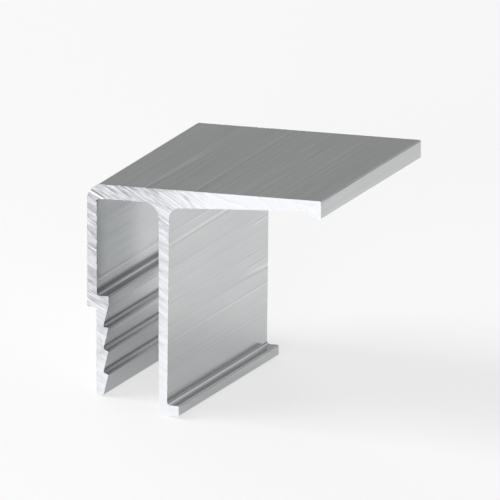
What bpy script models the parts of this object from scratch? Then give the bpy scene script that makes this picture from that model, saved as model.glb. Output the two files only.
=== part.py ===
"""Stretch ceiling profile: a short sawn piece of one aluminium extrusion.

Metres, +Z up. The section is drawn with x across the flange, from the toothed leg's outer
face, and z up from the flange's top face, so the legs reach down to negative z. It is
extruded along y. The toothed leg is shorter than the stem, so the piece leans until both
touch the floor at z = 0. The origin is on the floor, in the middle of the leaning piece.
"""

import math

import bmesh
import bpy
from mathutils import Matrix, Vector
from mathutils.geometry import convex_hull_2d

MM = 0.001

# Sawn length and overall height of the section
LENGTH = 30.0 * MM
HEIGHT = 23.35 * MM

# Flange: constant over the channel, then tapering from the stem to the lip
FLANGE_WIDTH = 25.0 * MM
FLANGE_OVER_CHANNEL = 1.5 * MM
FLANGE_AT_STEM = 1.92 * MM
FLANGE_AT_LIP = 1.1 * MM

# Lip along the flange's free edge, measured below the flange's underside
LIP_THICKNESS = 1.1 * MM
LIP_DROP = 0.77 * MM

# Outer corner over the toothed leg: a chamfer with a slightly crowned face
CORNER_LEG = 1.25 * MM
CORNER_CROWN_RADIUS = 2.2 * MM

# Chamber at the top of the channel, between the two legs
CHAMBER_WIDTH = 6.6 * MM
CHAMBER_HEIGHT = 10.0 * MM

# Toothed leg: a plain upper wall, then a hook, then a thinner wall set in with teeth
LEG_THICKNESS = 1.05 * MM
HOOK_LAND = 1.0 * MM
HOOK_FLANK = 2.1 * MM
HOOK_STEP = 1.2 * MM
LOWER_LEG_INSET = 1.0 * MM
LOWER_LEG_THICKNESS = 0.73 * MM
TOOTH_COUNT = 3
TOOTH_PITCH = 2.4 * MM
TOOTH_DEPTH = 0.57 * MM
TOOTH_LEDGE_DROP = 0.2 * MM

# Stem: straight on the channel side, tapering on the other, with a foot that turns outward
STEM_AT_FLANGE = 1.15 * MM
STEM_AT_FOOT = 0.9 * MM
FOOT_REACH = 1.25 * MM
FOOT_THICKNESS = 1.08 * MM
HEEL_RADIUS = 0.9 * MM

# Fillets and edge radii that the die leaves
CHANNEL_FILLET = 1.6 * MM
FLANGE_FILLET = 1.2 * MM
LIP_FILLET = 0.6 * MM
FOOT_FILLET = 0.35 * MM
NOOK_RADIUS = 0.25 * MM
EDGE_RADIUS = 0.15 * MM
LEG_END_RADIUS = 0.3 * MM
TOOTH_ROOT_RADIUS = 0.2 * MM
TOOTH_TIP_RADIUS = 0.12 * MM

ARC_STEP = math.radians(9)

# Mill-finish aluminium
METAL_COLOUR = (0.46, 0.47, 0.48, 1.0)
METAL_ROUGHNESS = 0.42

# Positions that follow from the sizes above
STEM_LEFT = LEG_THICKNESS + CHAMBER_WIDTH
LIP_LEFT = FLANGE_WIDTH - LIP_THICKNESS
FOOT_RIGHT = STEM_LEFT + STEM_AT_FOOT + FOOT_REACH
SHOULDER_Z = -(FLANGE_OVER_CHANNEL + CHAMBER_HEIGHT)
TOOTH_ROOT_X = LOWER_LEG_INSET + LOWER_LEG_THICKNESS
TOOTH_TIP_X = TOOTH_ROOT_X + TOOTH_DEPTH


def clear_scene():
    for item in list(bpy.data.objects):
        bpy.data.objects.remove(item)


def crowned_corner():
    """Points up the outer corner: an arc of the crown's radius between the chamfer's two ends."""
    start = Vector((0.0, -CORNER_LEG))
    end = Vector((CORNER_LEG, 0.0))
    chord = end - start
    radius = max(CORNER_CROWN_RADIUS, chord.length / 2)
    inward = Vector((chord.y, -chord.x)).normalized()
    sagitta_side = math.sqrt(radius**2 - (chord.length / 2) ** 2)
    centre = (start + end) / 2 + inward * sagitta_side
    turn = 2 * math.asin(chord.length / 2 / radius)
    steps = math.ceil(turn / ARC_STEP)
    spoke = start - centre
    return [
        (*(centre + Matrix.Rotation(-turn * i / steps, 2) @ spoke), 0.0)
        for i in range(steps + 1)
    ]


def tooth_corners():
    """Corners down the toothed leg's inner side, from the hook's land to the leg's end."""
    land_end = SHOULDER_Z - HOOK_LAND
    root = land_end - HOOK_FLANK
    corners = [(TOOTH_TIP_X, land_end, TOOTH_ROOT_RADIUS)]
    for _ in range(TOOTH_COUNT):
        corners.append((TOOTH_ROOT_X, root, TOOTH_ROOT_RADIUS))
        corners.append((TOOTH_TIP_X, root - TOOTH_LEDGE_DROP, TOOTH_TIP_RADIUS))
        root -= TOOTH_PITCH
    corners.append((TOOTH_ROOT_X, root, LEG_END_RADIUS))
    corners.append((LOWER_LEG_INSET, root, LEG_END_RADIUS))
    return corners


def section_corners():
    """The section as corners (x, z, radius), clockwise from the top left of the flange."""
    step_z = SHOULDER_Z - HOOK_STEP
    foot_top = FOOT_THICKNESS - HEIGHT
    lip_bottom = -(FLANGE_AT_LIP + LIP_DROP)
    flange_and_lip = [
        (FLANGE_WIDTH, 0.0, EDGE_RADIUS),
        (FLANGE_WIDTH, lip_bottom, EDGE_RADIUS),
        (LIP_LEFT, lip_bottom, EDGE_RADIUS),
        (LIP_LEFT, -FLANGE_AT_LIP, LIP_FILLET),
    ]
    stem_and_foot = [
        (STEM_LEFT + STEM_AT_FLANGE, -FLANGE_AT_STEM, FLANGE_FILLET),
        (STEM_LEFT + STEM_AT_FOOT, foot_top, FOOT_FILLET),
        (FOOT_RIGHT, foot_top, EDGE_RADIUS),
        (FOOT_RIGHT, -HEIGHT, EDGE_RADIUS),
        (STEM_LEFT, -HEIGHT, HEEL_RADIUS),
    ]
    chamber_and_hook = [
        (STEM_LEFT, -FLANGE_OVER_CHANNEL, CHANNEL_FILLET),
        (LEG_THICKNESS, -FLANGE_OVER_CHANNEL, NOOK_RADIUS),
        (LEG_THICKNESS, SHOULDER_Z, NOOK_RADIUS),
        (TOOTH_TIP_X, SHOULDER_Z, EDGE_RADIUS),
    ]
    outer_step = [
        (LOWER_LEG_INSET, step_z, NOOK_RADIUS),
        (0.0, step_z, EDGE_RADIUS),
    ]
    return (
        flange_and_lip
        + stem_and_foot
        + chamber_and_hook
        + tooth_corners()
        + outer_step
        + crowned_corner()
    )


def rounded(corners):
    """A closed outline with each corner drawn as an arc, limited by the room beside it."""
    count = len(corners)
    points = [Vector((x, z)) for x, z, _ in corners]
    halves = []
    tangents = []
    for i, (_, _, radius) in enumerate(corners):
        to_last = points[i - 1] - points[i]
        to_next = points[(i + 1) % count] - points[i]
        halves.append(to_last.angle(to_next) / 2)
        tangents.append(radius / math.tan(halves[i]))
    room = []
    for i in range(count):
        edge = (points[(i + 1) % count] - points[i]).length
        wanted = tangents[i] + tangents[(i + 1) % count]
        room.append(min(1.0, edge / wanted) if wanted > 0 else 1.0)
    outline = []
    for i, (_, _, radius) in enumerate(corners):
        share = min(room[i - 1], room[i])
        outline += corner_arc(
            points[i - 1], points[i], points[(i + 1) % count], halves[i], radius * share
        )
    return without_repeats(outline)


def corner_arc(last, corner, following, half, radius):
    """Points of the arc of this radius that touches both sides of the corner."""
    if radius == 0:
        return [corner]
    to_last = (last - corner).normalized()
    to_next = (following - corner).normalized()
    centre = corner + (to_last + to_next).normalized() * radius / math.sin(half)
    spoke = corner + to_last * radius / math.tan(half) - centre
    turn = math.pi - 2 * half
    if to_last.cross(to_next) < 0:
        turn = -turn
    steps = max(2, math.ceil(abs(turn) / ARC_STEP))
    return [
        centre + Matrix.Rotation(-turn * i / steps, 2) @ spoke for i in range(steps + 1)
    ]


def without_repeats(outline):
    """Drops points that lie on the one before, where two arcs share the whole edge."""
    smallest = EDGE_RADIUS / 100
    return [
        point
        for i, point in enumerate(outline)
        if (point - outline[i - 1]).length > smallest
    ]


def resting_edge(outline):
    """The two points of the section that touch the floor: the hull's edge across the channel."""
    middle = (TOOTH_TIP_X + STEM_LEFT) / 2
    hull = [outline[i] for i in convex_hull_2d(outline)]
    for i, end in enumerate(hull):
        start = hull[i - 1]
        if start.x < middle < end.x:
            return start, end
    raise ValueError("the section has no edge to stand on")


def stand_on_floor(profile, outline):
    """Leans the profile until both legs touch the floor, with the origin below its middle."""
    start, end = resting_edge(outline)
    lean = math.atan2(end.y - start.y, end.x - start.x)
    level = Matrix.Rotation(-lean, 2)
    placed = [level @ point for point in outline]
    across = [point.x for point in placed]
    lowest = min(point.y for point in placed)
    profile.rotation_euler = (0.0, lean, 0.0)
    profile.location = (-(min(across) + max(across)) / 2, 0.0, -lowest)


def extruded_mesh(outline):
    mesh = bpy.data.meshes.new("ceiling_profile")
    bm = bmesh.new()
    front = bm.faces.new([bm.verts.new((p.x, -LENGTH / 2, p.y)) for p in outline])
    grown = bmesh.ops.extrude_face_region(bm, geom=[front])
    back = [item for item in grown["geom"] if isinstance(item, bmesh.types.BMVert)]
    bmesh.ops.translate(bm, verts=back, vec=(0.0, LENGTH, 0.0))
    bmesh.ops.recalc_face_normals(bm, faces=bm.faces)
    bm.to_mesh(mesh)
    bm.free()
    mesh.shade_smooth()
    mesh.set_sharp_from_angle(angle=math.radians(30))
    return mesh


def mill_finish_aluminium():
    material = bpy.data.materials.new("mill_finish_aluminium")
    material.use_nodes = True
    shader = material.node_tree.nodes["Principled BSDF"]
    shader.inputs["Base Color"].default_value = METAL_COLOUR
    shader.inputs["Metallic"].default_value = 1.0
    shader.inputs["Roughness"].default_value = METAL_ROUGHNESS
    return material


def main():
    clear_scene()
    outline = rounded(section_corners())
    profile = bpy.data.objects.new("ceiling_profile", extruded_mesh(outline))
    bpy.context.scene.collection.objects.link(profile)
    profile.data.materials.append(mill_finish_aluminium())
    stand_on_floor(profile, outline)


main()
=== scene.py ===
import math

import bmesh
import bpy
from mathutils import Matrix, Vector, noise
from mathutils.bvhtree import BVHTree


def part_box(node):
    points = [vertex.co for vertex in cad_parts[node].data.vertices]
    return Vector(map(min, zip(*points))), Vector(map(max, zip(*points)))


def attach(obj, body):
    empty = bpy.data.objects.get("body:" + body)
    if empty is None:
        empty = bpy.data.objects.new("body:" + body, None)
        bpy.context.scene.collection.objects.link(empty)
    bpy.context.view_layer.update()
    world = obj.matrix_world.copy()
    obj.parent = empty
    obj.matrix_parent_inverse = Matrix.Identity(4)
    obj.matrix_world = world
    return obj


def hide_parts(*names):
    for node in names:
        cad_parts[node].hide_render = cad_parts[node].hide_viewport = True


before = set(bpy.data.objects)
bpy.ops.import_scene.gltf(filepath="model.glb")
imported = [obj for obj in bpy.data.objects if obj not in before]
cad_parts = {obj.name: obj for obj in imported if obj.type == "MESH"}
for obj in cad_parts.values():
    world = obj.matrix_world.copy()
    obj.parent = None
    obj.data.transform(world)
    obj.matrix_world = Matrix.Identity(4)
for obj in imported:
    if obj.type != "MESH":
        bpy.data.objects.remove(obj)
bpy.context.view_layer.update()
cadNode = "ceiling_profile"
mm = 0.001

# The drawn section: x from the toothed leg's outer face, z down from the flange's top
section = {
    "height": 23.35,
    "flangeWidth": 25.0,
    "flangeOverChannel": 1.5,
    "flangeAtStem": 1.92,
    "flangeAtLip": 1.1,
    "lipThickness": 1.1,
    "lipDrop": 0.77,
    "cornerLeg": 1.25,
    "cornerCrown": 2.2,
    "chamberWidth": 6.6,
    "chamberHeight": 10.0,
    "legThickness": 1.05,
    "hookLand": 1.0,
    "hookFlank": 2.1,
    "hookStep": 1.2,
    "lowerLegInset": 1.0,
    "lowerLegThickness": 0.73,
    "toothCount": 3,
    "toothPitch": 2.4,
    "toothDepth": 0.57,
    "toothLedgeDrop": 0.2,
    "stemAtFlange": 1.15,
    "stemAtFoot": 0.9,
    "footReach": 1.25,
    "footThickness": 1.08,
    "heelRadius": 0.9,
    "channelFillet": 1.6,
    "flangeFillet": 1.2,
    "lipFillet": 0.6,
    "footFillet": 0.35,
    "nookRadius": 0.25,
    "edgeRadius": 0.15,
    "legEndRadius": 0.3,
    "toothRootRadius": 0.2,
    "toothTipRadius": 0.12,
    "arcStep": 5.0,  # degrees between the points of a round corner
    "wallStep": 0.6,  # longest stretch of flat wall between two points
    "sharpFrom": 12.0,  # degrees between two walls that make their edge a sharp one
}


def crownedCorner():
    # the chamfer over the toothed leg, as an arc from its lower end to its upper one
    start = Vector((0.0, -section["cornerLeg"]))
    end = Vector((section["cornerLeg"], 0.0))
    chord = end - start
    radius = section["cornerCrown"]
    inward = Vector((chord.y, -chord.x)).normalized()
    centre = (start + end) / 2 + inward * math.sqrt(radius**2 - chord.length_squared / 4)
    turn = 2 * math.asin(chord.length / 2 / radius)
    steps = math.ceil(math.degrees(turn) / section["arcStep"])
    return [
        (*(centre + Matrix.Rotation(-turn * i / steps, 2) @ (start - centre)), 0.0)
        for i in range(steps + 1)
    ]


def toothedSide(landEnd, rootX, tipX):
    # down the leg's inner side: the hook's tip, each root and tooth, then the leg's end
    rootRadius = section["toothRootRadius"]
    root = landEnd - section["hookFlank"]
    corners = [(tipX, landEnd, rootRadius)]
    for _ in range(section["toothCount"]):
        corners.append((rootX, root, rootRadius))
        corners.append((tipX, root - section["toothLedgeDrop"], section["toothTipRadius"]))
        root -= section["toothPitch"]
    corners.append((rootX, root, section["legEndRadius"]))
    corners.append((section["lowerLegInset"], root, section["legEndRadius"]))
    return corners


def sectionCorners():
    # corners as (x, z, radius), clockwise from the top left of the flange
    edge, nook = section["edgeRadius"], section["nookRadius"]
    leg = section["legThickness"]
    stemLeft = leg + section["chamberWidth"]
    lipLeft = section["flangeWidth"] - section["lipThickness"]
    lipBottom = -(section["flangeAtLip"] + section["lipDrop"])
    footTop = section["footThickness"] - section["height"]
    footRight = stemLeft + section["stemAtFoot"] + section["footReach"]
    underFlange = -section["flangeOverChannel"]
    shoulder = underFlange - section["chamberHeight"]
    outerStep = shoulder - section["hookStep"]
    rootX = section["lowerLegInset"] + section["lowerLegThickness"]
    tipX = rootX + section["toothDepth"]
    return [
        (section["flangeWidth"], 0.0, edge),
        (section["flangeWidth"], lipBottom, edge),
        (lipLeft, lipBottom, edge),
        (lipLeft, -section["flangeAtLip"], section["lipFillet"]),
        (stemLeft + section["stemAtFlange"], -section["flangeAtStem"], section["flangeFillet"]),
        (stemLeft + section["stemAtFoot"], footTop, section["footFillet"]),
        (footRight, footTop, edge),
        (footRight, -section["height"], edge),
        (stemLeft, -section["height"], section["heelRadius"]),
        (stemLeft, underFlange, section["channelFillet"]),
        (leg, underFlange, nook),
        (leg, shoulder, nook),
        (tipX, shoulder, edge),
        *toothedSide(shoulder - section["hookLand"], rootX, tipX),
        (section["lowerLegInset"], outerStep, nook),
        (0.0, outerStep, edge),
        *crownedCorner(),
    ]


def roundedCorner(last, corner, following, radius):
    # the arc of this radius that touches both walls
    if radius == 0:
        return [corner]
    toLast = (last - corner).normalized()
    toNext = (following - corner).normalized()
    half = toLast.angle(toNext) / 2
    centre = corner + (toLast + toNext).normalized() * radius / math.sin(half)
    spoke = corner + toLast * radius / math.tan(half) - centre
    turn = math.copysign(math.pi - 2 * half, toLast.cross(toNext))
    steps = max(2, math.ceil(abs(math.degrees(turn)) / section["arcStep"]))
    return [centre + Matrix.Rotation(-turn * i / steps, 2) @ spoke for i in range(steps + 1)]


def drawnOutline():
    # the closed outline, with its long walls divided into short stretches
    corners = sectionCorners()
    points = [Vector((x, z)) for x, z, _ in corners]
    outline = []
    for i, (_, _, radius) in enumerate(corners):
        following = points[(i + 1) % len(points)]
        for point in roundedCorner(points[i - 1], points[i], following, radius):
            outline.append(point)
    divided = []
    for i, point in enumerate(outline):
        last = outline[i - 1]
        steps = max(1, math.ceil((point - last).length / section["wallStep"]))
        divided += [last.lerp(point, k / steps) for k in range(1, steps + 1)]
    return divided


# The saw: a blade with its middle below and left of the section leaves arcs on both cuts. It
# bites in at the corner over the toothed leg, and cuts calmer the farther it has gone
saw = {
    "bladeRadius": 150.0,  # from the blade's middle to the section's middle
    "markAngle": 33.0,  # how steeply the marks fall to the right
    "markSpacing": 0.14,  # feed for each tooth of a coarse blade
    "markLength": 1.7,  # how far a mark runs before it fades into the next
    "markContrast": 1.35,  # how strongly the crests differ from the grooves
    "chatterSpacing": 0.5,  # broader steps, where the thin walls below the flange shook
    "chatterLength": 4.0,
    "chatterContrast": 1.9,
    "chatterFrom": 1.0,  # depths below the flange's top between which the shaking grows
    "chatterTo": 3.0,
    "markDepth": 0.026,  # the deepest grooves, at the corner
    "tornShare": 0.52,  # how far down even the crests between the marks are torn
    "roughReach": 3.0,  # the marks are deepest this far from the corner
    "calmReach": 17.0,  # and nearly gone this far
    "calmShare": 0.1,
    "legStretch": 1.8,  # they last longer down the leg than across the flange
    "scoreSpacing": 1.6,  # the single thin lines that a bent tooth leaves
    "scoreLength": 5.0,
    "scoreWidth": 0.07,
    "scoreDepth": 0.006,
    "biteFrom": (0.2, -0.68),  # one deep score at the corner, where the first tooth bit
    "biteTo": (1.85, -1.53),
    "biteWidth": 0.1,
    "biteDepth": 0.03,
    "biteFade": 0.2,  # share of its run over which it deepens, and again over which it ends
    "gridAcross": 0.055,  # mesh size across the marks and along them
    "gridAlong": 0.18,
    "samePoint": 0.001,  # a slice this close to a point of the mesh goes through that point
    "chipDepth": 0.17,  # how far the teeth tore the cut's edges in, where they were roughest
    "chipSpacing": 0.15,
    "chipReach": 0.35,  # how far the torn edge reaches into the cut and back along the walls
    "wallLength": 3.0,  # mesh size along the plain walls
}
noiseLayers = {"mark": 0.0, "chatter": 5.0, "score": 9.0}  # so that the three kinds differ
markAngle = math.radians(saw["markAngle"])
alongMarks = Vector((math.cos(markAngle), 0.0, -math.sin(markAngle)))
acrossMarks = Vector((math.sin(markAngle), 0.0, math.cos(markAngle)))
sectionMiddle = Vector((section["flangeWidth"] / 2, 0.0, -section["height"] / 2))
bladeMiddle = sectionMiddle - acrossMarks * saw["bladeRadius"]


def bladeBite(flat):
    # a groove with the metal that it threw up on its lower side. Both are a width away from the
    # score's own line, where the last two factors multiply to one
    start, end = (Vector((x, 0.0, z)) for x, z in (saw["biteFrom"], saw["biteTo"]))
    run = end - start
    share = (flat - start).dot(run) / run.length_squared
    if not 0.0 < share < 1.0:
        return 0.0
    above = (flat - start).cross(run).y / run.length / saw["biteWidth"]
    fading = min(1.0, share / saw["biteFade"], (1 - share) / saw["biteFade"])
    return saw["biteDepth"] * fading * above * math.exp(0.5 - above**2 / 2)


def cutRoughness(point):
    # how rough the blade cut here, from 1 at the corner, easing down to the calm share
    gone = Vector((point.x, point.z / saw["legStretch"])).length
    share = (gone - saw["roughReach"]) / (saw["calmReach"] - saw["roughReach"])
    share = min(1.0, max(0.0, share))
    return 1 - (1 - saw["calmShare"]) * share**2 * (3 - 2 * share)


def grain(kind, across, along):
    # noise between -1 and 1, drawn out along the marks
    across /= saw[kind + "Spacing"]
    along /= saw[kind + "Length"]
    return noise.noise((across, along, noiseLayers[kind]))


def sawMarks(point):
    # a point of a cut as its place across and along the marks, and how deep the teeth went there
    flat = Vector((point.x, 0.0, point.z))
    across = (flat - bladeMiddle).length - saw["bladeRadius"]
    along = point.dot(alongMarks) + point.y  # the two ends have marks of their own
    shaken = (-point.z - saw["chatterFrom"]) / (saw["chatterTo"] - saw["chatterFrom"])
    shaken = saw["chatterContrast"] * min(1.0, max(0.0, shaken))
    # 0 on a crest and 1 in a groove, with 0.5 between them
    mark = 0.5 + saw["markContrast"] * grain("mark", across, along)
    mark += shaken * grain("chatter", across, along)
    mark = saw["tornShare"] + (1 - saw["tornShare"]) * min(1.0, max(0.0, mark))
    score = max(0.0, 1 - abs(grain("score", across, along)) / saw["scoreWidth"])
    depth = saw["markDepth"] * cutRoughness(point) * mark
    depth += saw["scoreDepth"] * score + bladeBite(flat)
    return Vector((across, along, max(0.0, depth)))


def tornEdge(point, walls):
    # how far the saw pulled this point of a cut in, away from the nearest wall
    nearest, outward, _, distance = walls.find_nearest(Vector((point.x, 0.0, point.z)))
    if distance > saw["chipReach"]:
        return Vector()
    nearest.y = point.y  # the two ends have chips of their own
    chip = max(0.0, noise.noise(nearest / saw["chipSpacing"]))
    share = 1 - distance / saw["chipReach"]
    return -outward * saw["chipDepth"] * cutRoughness(point) * chip * share


def sliced(bm, faces, direction, step):
    # cuts the faces into strips, always cutting only what still lies ahead
    reach = [vert.co.dot(direction) for face in faces for vert in face.verts]
    done, ahead = [], list(faces)
    level = min(reach) + step
    while level < max(reach):
        edges = {edge for face in ahead for edge in face.edges}
        verts = {vert for face in ahead for vert in face.verts}
        cut = bmesh.ops.bisect_plane(
            bm, geom=[*ahead, *edges, *verts], dist=saw["samePoint"],
            plane_co=direction * level, plane_no=direction,
        )
        ahead = []
        for face in cut["geom"]:
            if isinstance(face, bmesh.types.BMFace):
                beyond = face.calc_center_median().dot(direction) > level
                (ahead if beyond else done).append(face)
        level += step
    return done + ahead


def sawnCut(bm, ring, outward, walls):
    # one end of the profile, with the blade's marks cut into it
    end = bm.faces.new(ring)
    strips = sliced(bm, [end], acrossMarks, saw["gridAcross"])
    cells = sliced(bm, strips, alongMarks, saw["gridAlong"])
    for cell in cells:
        cell.material_index = 1
    marksLayer = bm.verts.layers.float_vector["sawMarks"]
    verts = {vert for cell in cells for vert in cell.verts}
    for vert in verts:
        vert[marksLayer] = sawMarks(vert.co)
        vert.co += tornEdge(vert.co, walls)
        vert.co.y -= outward * vert[marksLayer].z


def sawnProfileMesh(length, place):
    outline = drawnOutline()
    bm = bmesh.new()
    bm.verts.layers.float_vector.new("sawMarks")
    drawnLayer = bm.verts.layers.float_vector.new("drawnPlace")
    plain = length - 2 * saw["chipReach"]
    steps = math.ceil(plain / saw["wallLength"])
    stations = [-length / 2, *(plain * (i / steps - 0.5) for i in range(steps + 1)), length / 2]
    rings = [[bm.verts.new((p.x, y, p.y)) for p in outline] for y in stations]
    for near, far in zip(rings, rings[1:]):
        for i in range(len(outline)):
            bm.faces.new((near[i - 1], near[i], far[i], far[i - 1]))
    bm.normal_update()  # tells the torn edges which side of a wall is out
    walls = BVHTree.FromBMesh(bm)
    sawnCut(bm, rings[0][::-1], -1, walls)
    sawnCut(bm, rings[-1], 1, walls)
    for face in bm.faces:
        face.smooth = True
    sharpFrom = math.radians(section["sharpFrom"])
    for edge in bm.edges:
        sides = {face.material_index for face in edge.link_faces}
        edge.smooth = len(sides) == 1 and (1 in sides or edge.calc_face_angle() < sharpFrom)
    for vert in bm.verts:
        vert[drawnLayer] = vert.co
        vert.co = place @ (vert.co * mm)
    mesh = bpy.data.meshes.new("sawnProfile")
    bm.to_mesh(mesh)
    bm.free()
    return mesh


def placeFromCad():
    # the CAD solid's flange top gives the lean, and its outermost faces the place
    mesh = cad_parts[cadNode].data
    lookingUp = math.cos(math.radians(25))  # as the lean is about 12 degrees
    facesUp = [face for face in mesh.polygons if face.normal.z > lookingUp]
    top = max(facesUp, key=lambda face: face.area)
    lean = Matrix.Rotation(math.atan2(top.normal.x, top.normal.z), 4, "Y")
    upright = [lean.inverted() @ vert.co for vert in mesh.vertices]
    corner = Vector((min(p.x for p in upright), 0.0, max(p.z for p in upright)))
    return Matrix.Translation(lean @ corner) @ lean


def linearColour(code):
    # sRGB hex to the linear values that Blender's sockets take, by the numbers of that standard
    channels = [int(code[i : i + 2], 16) / 255 for i in (1, 3, 5)]
    linear = [c / 12.92 if c <= 0.04045 else ((c + 0.055) / 1.055) ** 2.4 for c in channels]
    return (*linear, 1.0)


def addNode(tree, kind, settings=None, links=None):
    # a node with its settings, by socket or attribute, and the sockets that feed it
    node = tree.nodes.new(kind)
    for name, value in (settings or {}).items():
        if isinstance(name, int) or name in node.inputs:
            node.inputs[name].default_value = value
        else:
            setattr(node, name, value)
    for name, socket in (links or {}).items():
        tree.links.new(socket, node.inputs[name])
    return node


def newMaterial(name):
    material = bpy.data.materials.new(name)
    material.use_nodes = True
    tree = material.node_tree
    tree.nodes.clear()
    shader = addNode(tree, "ShaderNodeBsdfPrincipled")
    addNode(tree, "ShaderNodeOutputMaterial", links={"Surface": shader.outputs["BSDF"]})
    return material, tree, shader


def streaks(tree, size, detail=2.0, seed=0.0):
    # noise with its grain sized in millimetres across the flange, along the profile and up
    drawn = addNode(tree, "ShaderNodeAttribute", {"attribute_name": "drawnPlace"})
    grains = addNode(
        tree, "ShaderNodeVectorMath",
        {"operation": "DIVIDE", 1: size}, {0: drawn.outputs["Vector"]},
    )
    return addNode(
        tree, "ShaderNodeTexNoise",
        {"noise_dimensions": "4D", "Scale": 1.0, "Detail": detail, "W": seed},
        {"Vector": grains.outputs[0]},
    ).outputs["Fac"]


# Aluminium 6063 as it leaves the die, neither anodised nor painted: a soft grey mirror, drawn
# out into faint lines along the length by the die's bearing
millFinish = {
    "lightGrey": "#dcdedf",
    "darkGrey": "#b6b8b9",
    "roughness": 0.17,
    "roughnessSpread": 0.05,  # between the smoothest and the roughest line
    "dieLine": (0.4, 90.0, 0.4),  # real die lines are 0.02 to 0.05 wide, drawn coarser to show
    "lineNoise": (0.3, 0.7),  # the values that the noise of the lines mostly lies between
    "lineDepth": 0.002,
    "lineContrast": 0.25,  # share of the way between the two greys that the fine lines take
    "cloud": (3.5, 22.0, 3.5),  # broad patches that the lines come and go in
    "mixedNoise": (0.4, 0.6),  # the same for lines and clouds mixed
    "drag": (2.3, 200.0, 2.3),  # the few deeper lines that a grain of oxide drew through the die
    "dragNoise": (0.47, 0.53),  # the values of the noise on the two sides of such a line
    "dragFades": (0.43, 0.63),  # values of the clouds between which it comes out
    "dragDepth": 0.006,
    # how far the drag lines' painted shade and painted highlight move the grey beside them
    "dragPaintedShading": 1.7,
}


def millFinishAluminium():
    material, tree, shader = newMaterial("mill-finish extruded aluminium")
    lines = streaks(tree, millFinish["dieLine"])
    clouds = streaks(tree, millFinish["cloud"], seed=4.0)
    drag = streaks(tree, millFinish["drag"], detail=1.0, seed=7.0)
    halfClouds = addNode(tree, "ShaderNodeMath", {"operation": "MULTIPLY", 1: 0.5}, {0: clouds})
    mixed = addNode(
        tree, "ShaderNodeMath",
        {"operation": "MULTIPLY_ADD", 1: 0.5}, {0: lines, 2: halfClouds.outputs[0]},
    )
    low, high = millFinish["mixedNoise"]
    contrast = millFinish["lineContrast"] / 2
    fineShade = addNode(
        tree, "ShaderNodeMapRange",
        {"From Min": low, "From Max": high, "To Min": 0.5 - contrast, "To Max": 0.5 + contrast},
        {"Value": mixed.outputs[0]},
    )
    # a drag line runs where its noise passes through the middle value: a groove, with the metal
    # that it pushed up beside it. The bump gives that relief, and the colour adds painted shade
    # on one side of the line and a painted highlight on the other
    low, high = millFinish["dragNoise"]
    side = addNode(
        tree, "ShaderNodeMapRange",
        {"From Min": low, "From Max": high, "To Min": -1.0, "To Max": 1.0}, {"Value": drag},
    )
    offLine = addNode(tree, "ShaderNodeMath", {"operation": "ABSOLUTE"}, {0: side.outputs[0]})
    onLine = addNode(
        tree, "ShaderNodeMath", {"operation": "SUBTRACT", 0: 1.0}, {1: offLine.outputs[0]}
    )
    groove = addNode(
        tree, "ShaderNodeMath", {"operation": "MULTIPLY"},
        {0: side.outputs[0], 1: onLine.outputs[0]},
    )
    low, high = millFinish["dragFades"]
    fading = addNode(
        tree, "ShaderNodeMapRange", {"From Min": low, "From Max": high}, {"Value": clouds}
    )
    fadedGroove = addNode(
        tree, "ShaderNodeMath", {"operation": "MULTIPLY"},
        {0: groove.outputs[0], 1: fading.outputs[0]},
    )
    # painted shade and painted highlight: the colour of a drag line is darker on one side and
    # lighter on the other, as its relief would be lit, over the die lines' own tone
    shade = addNode(
        tree, "ShaderNodeMath", {"operation": "MULTIPLY_ADD", 1: millFinish["dragPaintedShading"]},
        {0: fadedGroove.outputs[0], 2: fineShade.outputs[0]},
    )
    colour = addNode(
        tree, "ShaderNodeMix",
        {
            "data_type": "RGBA",
            6: linearColour(millFinish["darkGrey"]),
            7: linearColour(millFinish["lightGrey"]),
        },
        {0: shade.outputs[0]},
    )
    low, high = millFinish["lineNoise"]
    middle, spread = millFinish["roughness"], millFinish["roughnessSpread"] / 2
    roughness = addNode(
        tree, "ShaderNodeMapRange",
        {"From Min": low, "From Max": high, "To Min": middle - spread, "To Max": middle + spread},
        {"Value": lines},
    )
    dieRelief = addNode(
        tree, "ShaderNodeBump",
        {"Strength": 1.0, "Distance": millFinish["lineDepth"] * mm}, {"Height": lines},
    )
    relief = addNode(
        tree, "ShaderNodeBump",
        {"Strength": 1.0, "Distance": millFinish["dragDepth"] * mm},
        {"Height": fadedGroove.outputs[0], "Normal": dieRelief.outputs[0]},
    )
    tree.links.new(colour.outputs[2], shader.inputs["Base Color"])
    tree.links.new(roughness.outputs[0], shader.inputs["Roughness"])
    tree.links.new(relief.outputs[0], shader.inputs["Normal"])
    shader.inputs["Metallic"].default_value = 1.0
    return material


# The same alloy fresh from the saw: bright bare metal, duller where the teeth tore it deepest,
# with painted shade darkening its colour down into the saw grooves.
# Its rougher face takes the lamps' light broadly, so the cuts are the palest part
sawnFinish = {
    "crest": "#c1c2c5",
    "groove": "#8b8c8f",
    "roughness": 0.5,
    "scratch": 0.08,  # the grit of a chip dragged by a tooth, drawn coarser to show
    "scratchLength": 1.2,
    "scratchDepth": 0.004,
    "grooveStart": 0.1,  # shares of the mark depth between which the colour turns
    "grooveEnd": 0.6,
}


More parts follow.
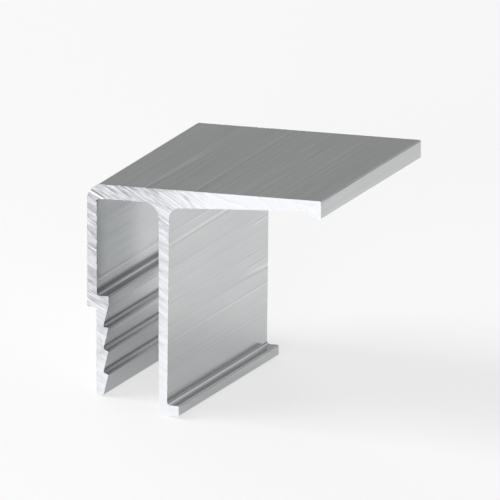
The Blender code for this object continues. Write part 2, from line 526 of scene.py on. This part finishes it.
def sawnAluminium():
    material, tree, shader = newMaterial("sawn aluminium")
    marks = addNode(tree, "ShaderNodeAttribute", {"attribute_name": "sawMarks"}).outputs["Vector"]
    size = (sawnFinish["scratch"], sawnFinish["scratchLength"], 1.0)
    grains = addNode(
        tree, "ShaderNodeVectorMath", {"operation": "DIVIDE", 1: size}, {0: marks}
    )
    scratches = addNode(
        tree, "ShaderNodeTexNoise",
        {"noise_dimensions": "2D", "Scale": 1.0, "Detail": 2.0}, {"Vector": grains.outputs[0]},
    ).outputs["Fac"]
    depth = addNode(tree, "ShaderNodeSeparateXYZ", links={0: marks}).outputs["Z"]
    # painted shade: the colour darkens from crest to groove with the cut's depth, standing for
    # the shade in the saw grooves together with the duller torn metal
    tornAndShaded = addNode(
        tree, "ShaderNodeMath", {"operation": "MULTIPLY"}, {0: depth, 1: scratches}
    )
    shade = addNode(
        tree, "ShaderNodeMapRange",
        {
            "From Min": saw["markDepth"] * sawnFinish["grooveStart"],
            "From Max": saw["markDepth"] * sawnFinish["grooveEnd"],
        },
        {"Value": tornAndShaded.outputs[0]},
    )
    colour = addNode(
        tree, "ShaderNodeMix",
        {
            "data_type": "RGBA",
            6: linearColour(sawnFinish["crest"]),
            7: linearColour(sawnFinish["groove"]),
        },
        {0: shade.outputs[0]},
    )
    bump = addNode(
        tree, "ShaderNodeBump",
        {"Strength": 1.0, "Distance": sawnFinish["scratchDepth"] * mm}, {"Height": scratches},
    )
    tree.links.new(colour.outputs[2], shader.inputs["Base Color"])
    tree.links.new(bump.outputs[0], shader.inputs["Normal"])
    shader.inputs["Roughness"].default_value = sawnFinish["roughness"]
    shader.inputs["Metallic"].default_value = 1.0
    return material


def addPiece(name, mesh):
    piece = bpy.data.objects.new(name, mesh)
    bpy.context.scene.collection.objects.link(piece)
    return piece


# A sheet of pale card under the profile, which takes its shadow. The camera and the metal each
# see a share of plain white over it, as in a picture set on a white page
floorCard = {
    "width": 4000.0,
    "colour": "#fbfbfb",
    "roughness": 0.9,
    "whiteToCamera": 0.65,  # the rest of what is seen is the lit card, with the shadow
    "whiteToMetal": 0.3,
}


def layFloor():
    half = floorCard["width"] / 2 * mm
    mesh = bpy.data.meshes.new("floorCard")
    corners = [(-half, -half, 0.0), (half, -half, 0.0), (half, half, 0.0), (-half, half, 0.0)]
    mesh.from_pydata(corners, [], [(0, 1, 2, 3)])
    material, tree, shader = newMaterial("matt card")
    shader.inputs["Base Color"].default_value = linearColour(floorCard["colour"])
    shader.inputs["Roughness"].default_value = floorCard["roughness"]
    plainWhite = addNode(tree, "ShaderNodeEmission", {"Strength": 1.0})
    rays = addNode(tree, "ShaderNodeLightPath")
    mirrored = addNode(
        tree, "ShaderNodeMath", {"operation": "MAXIMUM"},
        {0: rays.outputs["Is Glossy Ray"], 1: rays.outputs["Is Transmission Ray"]},
    )
    toMetal = addNode(
        tree, "ShaderNodeMath",
        {"operation": "MULTIPLY", 1: floorCard["whiteToMetal"]}, {0: mirrored.outputs[0]},
    )
    share = addNode(
        tree, "ShaderNodeMath", {"operation": "MULTIPLY_ADD", 1: floorCard["whiteToCamera"]},
        {0: rays.outputs["Is Camera Ray"], 2: toMetal.outputs[0]},
    )
    mixed = addNode(
        tree, "ShaderNodeMixShader",
        links={0: share.outputs[0], 1: shader.outputs["BSDF"], 2: plainWhite.outputs[0]},
    )
    tree.links.new(mixed.outputs[0], tree.nodes["Material Output"].inputs["Surface"])
    mesh.materials.append(material)
    addPiece("floorCard", mesh)


# Soft studio light, mostly from the front and left, so that faces that look up stay dark.
# Azimuth 0 is in front of the profile and 90 on its right
studio = {
    "roomGrey": "#9f9f9f",  # what the flange's top mirrors
    "distance": 1500.0,
    "lamps": {
        "mainSoftbox": {"azimuth": -45, "elevation": 25, "width": 830, "watts": 22.5},
        "lowFrontSoftbox": {"azimuth": 5, "elevation": 8, "width": 420, "watts": 15.0},
        "rearLeftSoftbox": {"azimuth": -135, "elevation": 25, "width": 830, "watts": 3.0},
        "rearSoftbox": {"azimuth": 174, "elevation": 30, "width": 480, "watts": 0.4},
    },
}


def lightStudio(aim):
    world = bpy.data.worlds.new("studioRoom")
    bpy.context.scene.world = world
    world.use_nodes = True
    background = world.node_tree.nodes["Background"]
    background.inputs["Color"].default_value = linearColour(studio["roomGrey"])
    for name, values in studio["lamps"].items():
        light = bpy.data.lights.new(name, "AREA")
        light.size = values["width"] * mm
        light.energy = values["watts"]
        lamp = bpy.data.objects.new(name, light)
        turn = Matrix.Rotation(math.radians(values["azimuth"]), 3, "Z")
        raised = turn @ Matrix.Rotation(math.radians(90 - values["elevation"]), 3, "X")
        lamp.location = aim + raised @ Vector((0.0, 0.0, studio["distance"] * mm))
        lamp.rotation_euler = raised.to_euler()
        bpy.context.scene.collection.objects.link(lamp)


# The photograph's view, set against the section, which stands upright in the picture
photoView = {
    "azimuth": 19.6,
    "elevation": 12.66,
    "pictureMiddle": (17.42, 0.0, -5.576),  # the point of the front cut behind the middle pixel
    "pixels": 500,
    "pixelsPerMm": 9.932,
    "distance": 300.0,
}


def setCamera(place, length):
    data = bpy.data.cameras.new("photoCamera")
    data.type = "ORTHO"
    data.ortho_scale = photoView["pixels"] / photoView["pixelsPerMm"] * mm
    camera = bpy.data.objects.new("photoCamera", data)
    bpy.context.scene.collection.objects.link(camera)
    middle = (Vector(photoView["pictureMiddle"]) - Vector((0.0, length / 2, 0.0))) * mm
    camera.matrix_world = (
        place
        @ Matrix.Translation(middle)
        @ Matrix.Rotation(math.radians(photoView["azimuth"]), 4, "Z")
        @ Matrix.Rotation(math.radians(90 - photoView["elevation"]), 4, "X")
        @ Matrix.Translation((0.0, 0.0, photoView["distance"] * mm))
    )
    bpy.context.scene.camera = camera


lowest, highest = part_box(cadNode)
profileLength = (highest.y - lowest.y) / mm
sectionPlace = placeFromCad()
print("lean and place read from the CAD model")

setCamera(sectionPlace, profileLength)
print("camera set to the photograph's view")

sawnProfile = addPiece("sawn_profile", sawnProfileMesh(profileLength, sectionPlace))
sawnProfile.data.materials.append(millFinishAluminium())
sawnProfile.data.materials.append(sawnAluminium())
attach(sawnProfile, "root")
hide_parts(cadNode)
print("profile sawn and finished:", len(sawnProfile.data.polygons), "faces")

layFloor()
lightStudio((lowest + highest) / 2)
bpy.context.scene.view_settings.view_transform = "Standard"
print("floor laid and studio lit")
